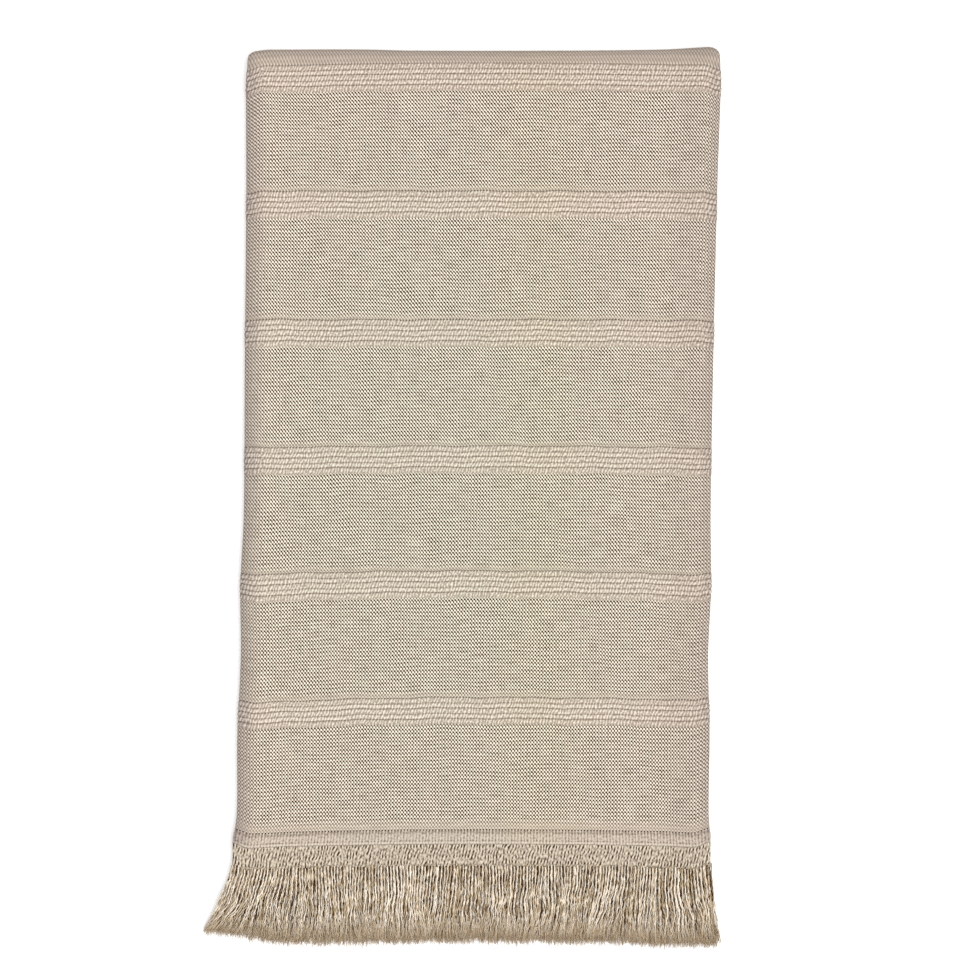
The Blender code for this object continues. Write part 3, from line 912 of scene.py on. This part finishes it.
# Header: its stitches stand in slanting strands that cross its rows
HEADER_LIGHT, HEADER_DEEP = shade(230, 216, 194), shade(66, 50, 33)
HEADER_SLANT, HEADER_ROW = 0.014, 0.0052
HEADER_SWAY, HEADER_ROW_SWAY = Noise(70, 70, depth=280, reach=1.8), 0.5
HEADER_SPECKS = Noise(620, 300, depth=2, detail=2.0, reach=1.6)
HEADER_BLOTCHES = Noise(160, 140, depth=6)
STITCHES_FROM, STITCH_LIGHT = 0.32, 1.5  # stitches show where the blotches are above this
HEADER_BASE, MEAN_STRAND, STRAND_SHARE, ROW_SHARE, ROW_LIGHT = 0.58, 0.35, 0.8, 0.4, 0.05
HEADER_RELIEF = 0.0003


def header_material():
    """Loose weave of the strip above the fringe: short upright dashes in rows."""
    material, shader, tree = new_material("cotton_header_weave", HEADER_ROUGH)
    u, v = tree.on_cloth()
    sway = tree.stray(u, v, HEADER_SWAY)
    strand = ((u / (2 * WARP_PITCH) - v / HEADER_SLANT + sway) * math.tau).cos()
    row = ((v / HEADER_ROW + sway * HEADER_ROW_SWAY) * math.tau).cos()
    specks, blotch = tree.stray(u, v, HEADER_SPECKS), tree.noise(u, v, HEADER_BLOTCHES)
    lively = (blotch - STITCHES_FROM).most(0.0) * STITCH_LIGHT
    stitches = (strand - MEAN_STRAND) * lively * (STRAND_SHARE - row * ROW_SHARE)
    light = HEADER_BASE + stitches - row * ROW_LIGHT + specks
    colour = tree.mix(light.ease(), HEADER_DEEP, HEADER_LIGHT)
    connect(tree, shader, colour, light * HEADER_RELIEF)
    return material


# Yarn of the fringe: painted light on the strands on top, painted shade deep between them
YARN_LIGHT, YARN_MEAN, YARN_DEEP = shade(255, 244, 228), shade(191, 170, 137), shade(74, 38, 0)
YARN_MEAN_AT = 0.5
YARN_TIP, TIP_RANGE, TIP_SHARE = shade(180, 158, 127), (0.68, 1.0), 0.75
YARN_GRAIN = Noise(60, 11, detail=2.0, reach=1.7)
LIFT_LIGHT, YARN_BASE, TONE_LIGHT = 0.86, 0.09, 0.25
YARN_RELIEF = 0.0001


def yarn_material():
    """Loose cotton yarn: painted light where it lies on top, painted shade between, dull at the
    tips.
    """
    material, shader, tree = new_material("cotton_fringe_yarn", YARN_ROUGH)
    along, tone, lift = tree.read("along"), tree.read("tone"), tree.read("lift")
    grain = tree.noise(tone, along, YARN_GRAIN)
    light = lift * LIFT_LIGHT + YARN_BASE + tone.swing(TONE_LIGHT) + grain.swing(YARN_GRAIN.reach)
    colour = tree.cotton(light, YARN_DEEP, YARN_MEAN, YARN_LIGHT, YARN_MEAN_AT)
    colour = tree.mix(along.ease(*TIP_RANGE) * TIP_SHARE, colour, YARN_TIP)
    connect(tree, shader, colour, grain * YARN_RELIEF)
    return material


# Named inputs of the fringe's node tree, by their kind of socket
FRINGE_INPUTS = {
    "Geometry": ["Geometry"],
    "Int": ["Strands", "Points", "Seed"],
    "Float": ["Width", "Thickness", "Starts", "Ends", "Ragged", "Crimp", "Gather", "Stray", "Lift"]
    + ["Uneven Starts", "Taper"],
    "Material": ["Material"],
}
CORD_PITCH, TUFT_PITCH = 0.0031, 0.0058  # the strands leave the header in cords, and end in tufts
CORD_PULL, TUFT_PULL = 0.00050, 0.0013  # how far strands are drawn into a cord, and into a tuft
FACE_SHARE, FACE_WIDTH = 0.76, 0.52  # so many of the strands hang in so much of the width
# Strands beyond the face lie under the others, and painted shade darkens them
FACE_EDGE = 0.01  # strands beyond the face darken over this share of the width
YARN_SIDES = 3
SHEET_END, SHEET_LENGTH = 0.999, 0.08  # how far down the sheet is read, and about its length
ROOT_RISE = 0.0004  # the strands start this far above the sheet

# How the strands move, with across to the metre and along from root to tip. Depth is here the
# number of the wave. The curls and OWN_LIFT differ from strand to strand, whatever its place.
LONG_TUFTS, SHORT_TUFTS = Noise(95, 0, 9, reach=0.048), Noise(240, 0, 10, reach=0.080)
CURL, FINE_CURL = Noise(40, 22, 1), Noise(40, 50, 2, reach=0.45)
BUNCH, FINE_BUNCH = Noise(130, 1.5, 3, reach=0.6), Noise(400, 2.2, 4, reach=0.4)
CORD_SWAY, TUFT_SWAY = Noise(60, 0.8, 5, reach=0.5), Noise(40, 0, 11, reach=4.0)
LONG_LEAN, SHORT_LEAN = Noise(34, 0.8, 6, reach=0.0090), Noise(48, 2.8, 12, reach=0.0030)
PARTINGS, OWN_LIFT = Noise(200, 10, 8), Noise(40, 3, 7, reach=0.22)
SEED_STEP, WAVE_STEP = 7.3, 11.7  # how far apart in the noise two seeds and two waves are
WAVE_SPREAD = 2.6
DRAWS_TO_A_SEED = 16

# Where along a strand each movement sets in, and where it is complete
CURLED, ROOTED, LOOSENED = (-0.05, 0.12), (0.0, 0.12), (0.0, 0.55)
PARTED, TUFTED, THINNED, SHOWN = (0.1, 1.3), (0.5, 1.0), (0.55, 1.0), (0.75, 0.95)

# How high a strand lies among the others, from 0 to 1, which also sets its painted light and shade
HELD, SHARES = 0.9, 1.15  # the cord's share at the root, and what it and chance share between them
RIDGE, VALLEY, PARTING = 0.86, 1.1, 0.65  # on a cord, and how deep and open the valleys are
CHANCE_LIFT, LEAST_LIFT, LIFT_SPREAD = 0.80, 0.08, 0.30
LEAST_THICK, THICK_SPREAD = 0.75, 0.5  # strands differ in thickness


def strand_roots(share):
    """Where each strand starts across the sheet, from 0 to 1: closer together in the middle."""
    off = share - 0.5
    inner = off.most(-FACE_SHARE / 2).least(FACE_SHARE / 2)
    dense, sparse = FACE_WIDTH / FACE_SHARE, (1 - FACE_WIDTH) / (1 - FACE_SHARE)
    return inner * dense + (off - inner) * sparse + 0.5


def fringe_tree():
    """Strands laid along a guide sheet. Width is the sheet's, and distances are in metres."""
    group = bpy.data.node_groups.new("fringe_strands", "GeometryNodeTree")
    for kind, names in FRINGE_INPUTS.items():
        for name in names:
            group.interface.new_socket(name=name, in_out="INPUT", socket_type="NodeSocket" + kind)
    group.interface.new_socket(name="Geometry", in_out="OUTPUT", socket_type="NodeSocketGeometry")
    tree = Tree(group)
    given = tree.add("NodeGroupInput")
    want = {name: given.output(name) for names in FRINGE_INPUTS.values() for name in names}

    line = tree.add("GeometryNodeCurvePrimitiveLine", values={"Start": (0, 0, 0), "End": (0, 1, 0)})
    line = tree.add("GeometryNodeResampleCurve", values={"Curve": line, "Count": want["Points"]})
    points = tree.add("GeometryNodePoints", values={"Count": want["Strands"]})
    copies = tree.add("GeometryNodeInstanceOnPoints", values={"Points": points, "Instance": line})
    strands = tree.add("GeometryNodeRealizeInstances", values={"Geometry": copies})

    number = tree.add("GeometryNodeCurveOfPoint")
    _, step = tree.parts(tree.add("GeometryNodeInputPosition"))

    def chance(turn):
        """A random number from 0 to 1, each strand's own."""
        values = {"ID": number, "Seed": want["Seed"] * DRAWS_TO_A_SEED + turn, 2: 0.0, 3: 1.0}
        return tree.add("FunctionNodeRandomValue", {"data_type": "FLOAT"}, values, output=1)

    def wave(x, y, kind):
        """Soft noise about 0, much the same for strands that lie close together."""
        depth = want["Seed"] * SEED_STEP + kind.depth * WAVE_STEP
        return tree.noise(x, y, kind, depth).swing(WAVE_SPREAD) * kind.reach

    root = strand_roots((number + chance(1)) / want["Strands"])
    across = root * want["Width"]
    tuft = wave(across, 0.0, LONG_TUFTS) + wave(across, 0.0, SHORT_TUFTS)
    end = want["Ends"] - chance(2) ** 2 * want["Ragged"] + tuft
    start = want["Starts"] + chance(7) * want["Uneven Starts"]
    along = start + (end - start) * step

    loose, own = along.ease(*LOOSENED), chance(3)
    curl = wave(own, along, CURL) + wave(own, along, FINE_CURL)
    bunch = wave(across, along, BUNCH) + wave(across, along, FINE_BUNCH)
    cord = (across / CORD_PITCH + wave(across, along, CORD_SWAY)) * math.tau
    held = (1 - along.ease(*PARTED)) * HELD
    leaning = wave(across, along, LONG_LEAN) * along + wave(across, along, SHORT_LEAN) * loose
    tufted = (across / TUFT_PITCH * math.tau + wave(across, 0.0, TUFT_SWAY)).sin()
    curled = curl * want["Crimp"] * along.ease(*CURLED)
    sideways = curled + bunch * want["Gather"] * loose + leaning
    sideways = sideways - cord.sin() * held * CORD_PULL - tufted * along.ease(*TUFTED) * TUFT_PULL
    sideways = sideways + (chance(5) - 0.5) * want["Stray"] * along * along

    parting = (PARTING + wave(across, along, PARTINGS)).most(0.0)
    ridge = RIDGE - (0.5 - cord.cos() * 0.5) ** 2 * parting * VALLEY
    loose_lift = chance(6) * CHANCE_LIFT + wave(own, along, OWN_LIFT) + LEAST_LIFT
    lift = ridge * held + loose_lift * (SHARES - held) + chance(4).swing(LIFT_SPREAD)
    lift = lift.most(0.0).least(1.0)

    sampled_at = tree.vector(root + sideways / want["Width"], along.least(SHEET_END))
    vector = {"data_type": "FLOAT_VECTOR"}
    uv = tree.add("GeometryNodeInputNamedAttribute", vector, {"Name": "cloth"})
    guide = {"Mesh": want["Geometry"], "Source UV Map": uv, "Sample UV": sampled_at}

    def on_guide(value):
        """A vector of the guide sheet, read where this point of the strand lies on it."""
        return tree.add("GeometryNodeSampleUVSurface", vector, {**guide, "Value": value})

    spot = on_guide(tree.add("GeometryNodeInputPosition"))
    normal = on_guide(tree.add("GeometryNodeInputNormal"))
    rise = lift * want["Lift"] + (1 - along.ease(*ROOTED)) * ROOT_RISE
    raised = tree.add("ShaderNodeVectorMath", {"operation": "SCALE"}, {0: normal, "Scale": rise})
    placed = tree.add("ShaderNodeVectorMath", {"operation": "ADD"}, {0: spot, 1: raised})
    beyond = tree.vector(0.0, (along - SHEET_END).most(0.0) * -SHEET_LENGTH)
    placed = tree.add("ShaderNodeVectorMath", {"operation": "ADD"}, {0: placed, 1: beyond})

    # Painted shade on the strands beyond the face, which lie under the others, fading near their
    # tips
    beside = abs(root - 0.5).ease(FACE_WIDTH / 2, FACE_WIDTH / 2 + FACE_EDGE)
    painted_under_shade = beside * (1 - along.ease(*SHOWN))
    stored = {"along": along, "tone": chance(8), "lift": lift * (1 - painted_under_shade)}
    for name, value in stored.items():
        settings = {"data_type": "FLOAT", "domain": "POINT"}
        values = {"Geometry": strands, "Name": name, "Value": value}
        strands = tree.add("GeometryNodeStoreNamedAttribute", settings, values)
    thickness = want["Thickness"] * (LEAST_THICK + chance(9) * THICK_SPREAD)
    thickness = thickness * (1 - step.ease(*THINNED) * want["Taper"])
    values = {"Curve": strands, "Radius": thickness / 2}
    strands = tree.add("GeometryNodeSetCurveRadius", values=values)
    strands = tree.add("GeometryNodeSetPosition", values={"Geometry": strands, "Position": placed})
    values = {"Resolution": YARN_SIDES, "Radius": 1.0}
    ring = tree.add("GeometryNodeCurvePrimitiveCircle", values=values)
    radius = tree.add("GeometryNodeInputRadius")
    values = {"Curve": strands, "Profile Curve": ring, "Scale": radius, "Fill Caps": True}
    solid = tree.add("GeometryNodeCurveToMesh", values=values)
    solid = tree.add("GeometryNodeRealizeInstances", values={"Geometry": solid})
    solid = tree.add("GeometryNodeSetShadeSmooth", values={"Geometry": solid})
    values = {"Geometry": solid, "Material": want["Material"]}
    tree.add_output(tree.add("GeometryNodeSetMaterial", values=values))
    return group


def grow_fringe(name, guide, group, settings):
    """Runs the tree on the guide with these settings, and keeps the result as a plain mesh."""
    modifier = guide.modifiers.new("strands", "NODES")
    modifier.node_group = group
    inputs = [item for item in group.interface.items_tree if item.in_out == "INPUT"]
    sockets = {item.name: item.identifier for item in inputs}
    for label, value in settings.items():
        modifier[sockets[label]] = value
    bpy.context.view_layer.update()
    view = bpy.context.evaluated_depsgraph_get()
    whole = guide.evaluated_get(view)
    mesh = bpy.data.meshes.new_from_object(whole, preserve_all_data_layers=True, depsgraph=view)
    guide.modifiers.remove(modifier)
    mesh.name = name
    piece = bpy.data.objects.new(name, mesh)
    bpy.context.scene.collection.objects.link(piece)
    return piece


# Fringes: the half of the cloth that each hangs from, and a random seed of its own
Fringe = namedtuple("Fringe", "name leg hem_y tip_y seed")
FRINGES = (
    Fringe("upper_fringe", UPPER, HEM.y, UPPER_TIP_Y, 3),
    Fringe("lower_fringe", LOWER, -LOWER_OVERHANG, LOWER_TIP_Y, 5),
)
STRAND_COUNT, FIBRES_TO_A_STRAND = 720, 3

# Strands of a fringe, and the loose fibres at their ends
STRANDS = {
    "Points": 44,
    "Thickness": 0.00125,
    "Starts": 0.0,
    "Uneven Starts": 0.04,
    "Ends": 1.0,
    "Ragged": 0.06,
    "Crimp": 0.00095,
    "Gather": 0.0013,
    "Stray": 0.006,
    "Lift": 0.0020,
    "Taper": 0.45,
}
FIBRES = {
    **STRANDS,
    "Points": 8,
    "Thickness": 0.00055,
    "Starts": 0.66,
    "Uneven Starts": 0.26,
    "Ends": 1.04,
    "Ragged": 0.08,
    "Crimp": 0.0010,
    "Stray": 0.012,
    "Taper": 0.7,
}


def build_fringe(fringe, shift, group, material):
    """The strands of one fringe, and the loose fibres at their ends."""
    guide, width = fringe_guide(fringe, shift)
    same = {"Width": width, "Material": material}
    count = STRAND_COUNT * FIBRES_TO_A_STRAND
    strands = {**STRANDS, **same, "Strands": STRAND_COUNT, "Seed": fringe.seed}
    fibres = {**FIBRES, **same, "Strands": count, "Seed": fringe.seed + 1}
    pieces = [
        grow_fringe(fringe.name + "_strands", guide, group, strands),
        grow_fringe(fringe.name + "_fibres", guide, group, fibres),
    ]
    bpy.data.objects.remove(guide, do_unlink=True)
    return pieces


# Photograph: its frame is 980 pixels wide and high, and one pixel is a millimetre
PIXEL = 0.001
FRAME_PIXELS = 980
ZERO_PIXEL = (476, 845)  # x 0 and y 0 of the towel's own measures
CAMERA_HEIGHT = 3.2
SENSOR = 36.0

# Studio
FLOOR_SIZE, FLOOR_DROP = 8.0, 0.0002
FLOOR_COLOUR, FLOOR_ROUGH, FLOOR_GLOW = (0.93, 0.93, 0.925, 1.0), 0.9, 0.20
SOFTBOX_SIDE, SOFTBOX_ANGLE, SOFTBOX_POWER = (0.24, -0.18, 1.0), math.radians(45), 2.35
ROOM_LIGHT = 0.5


def place_camera(shift):
    """Straight above the towel, as far off-centre as in the photograph."""
    x = (FRAME_PIXELS / 2 - ZERO_PIXEL[0]) * PIXEL + shift[0]
    y = (ZERO_PIXEL[1] - FRAME_PIXELS / 2) * PIXEL + shift[1]
    camera = bpy.data.objects.new("camera", bpy.data.cameras.new("camera"))
    camera.data.sensor_width = SENSOR
    camera.data.lens = SENSOR * CAMERA_HEIGHT / (FRAME_PIXELS * PIXEL)
    camera.location = (x, y, CAMERA_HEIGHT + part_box("towel")[1].z)
    bpy.context.scene.collection.objects.link(camera)
    bpy.context.scene.camera = camera


def set_stage():
    """A pale floor and soft studio light."""
    material = bpy.data.materials.new("studio_floor")
    material.use_nodes = True
    shader = material.node_tree.nodes["Principled BSDF"]
    shader.inputs["Base Color"].default_value = FLOOR_COLOUR
    shader.inputs["Roughness"].default_value = FLOOR_ROUGH
    shader.inputs["Emission Color"].default_value = (1.0, 1.0, 1.0, 1.0)
    shader.inputs["Emission Strength"].default_value = FLOOR_GLOW
    half = FLOOR_SIZE / 2
    sides = ((-half, -half), (half, -half), (half, half), (-half, half))
    corners = np.array([(x, y, -FLOOR_DROP) for x, y in sides])
    make_piece("studio_floor", corners, [(0, 1, 2, 3)], material)
    data = bpy.data.lights.new("softbox", "SUN")
    data.angle, data.energy = SOFTBOX_ANGLE, SOFTBOX_POWER
    light = bpy.data.objects.new("softbox", data)
    light.rotation_euler = Vector(SOFTBOX_SIDE).to_track_quat("Z", "Y").to_euler()
    bpy.context.scene.collection.objects.link(light)
    world = bpy.data.worlds.new("studio")
    world.use_nodes = True
    world.node_tree.nodes["Background"].inputs["Color"].default_value = (1.0, 1.0, 1.0, 1.0)
    world.node_tree.nodes["Background"].inputs["Strength"].default_value = ROOM_LIGHT
    bpy.context.scene.world = world
    bpy.context.scene.view_settings.view_transform = "Standard"
    bpy.context.scene.cycles.use_denoising = False


def main():
    cloth, shift = build_cloth(cloth_material())
    header, yarn, group = header_material(), yarn_material(), fringe_tree()
    trims = []
    for fringe in FRINGES:
        strip = build_header(fringe, shift, header)
        strands = build_fringe(fringe, shift, group, yarn)
        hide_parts(fringe.name)
        trims += [strip, *strands]
    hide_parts("towel")
    for piece in (cloth, *trims):
        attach(piece, "root")
    place_camera(shift)
    set_stage()


main()
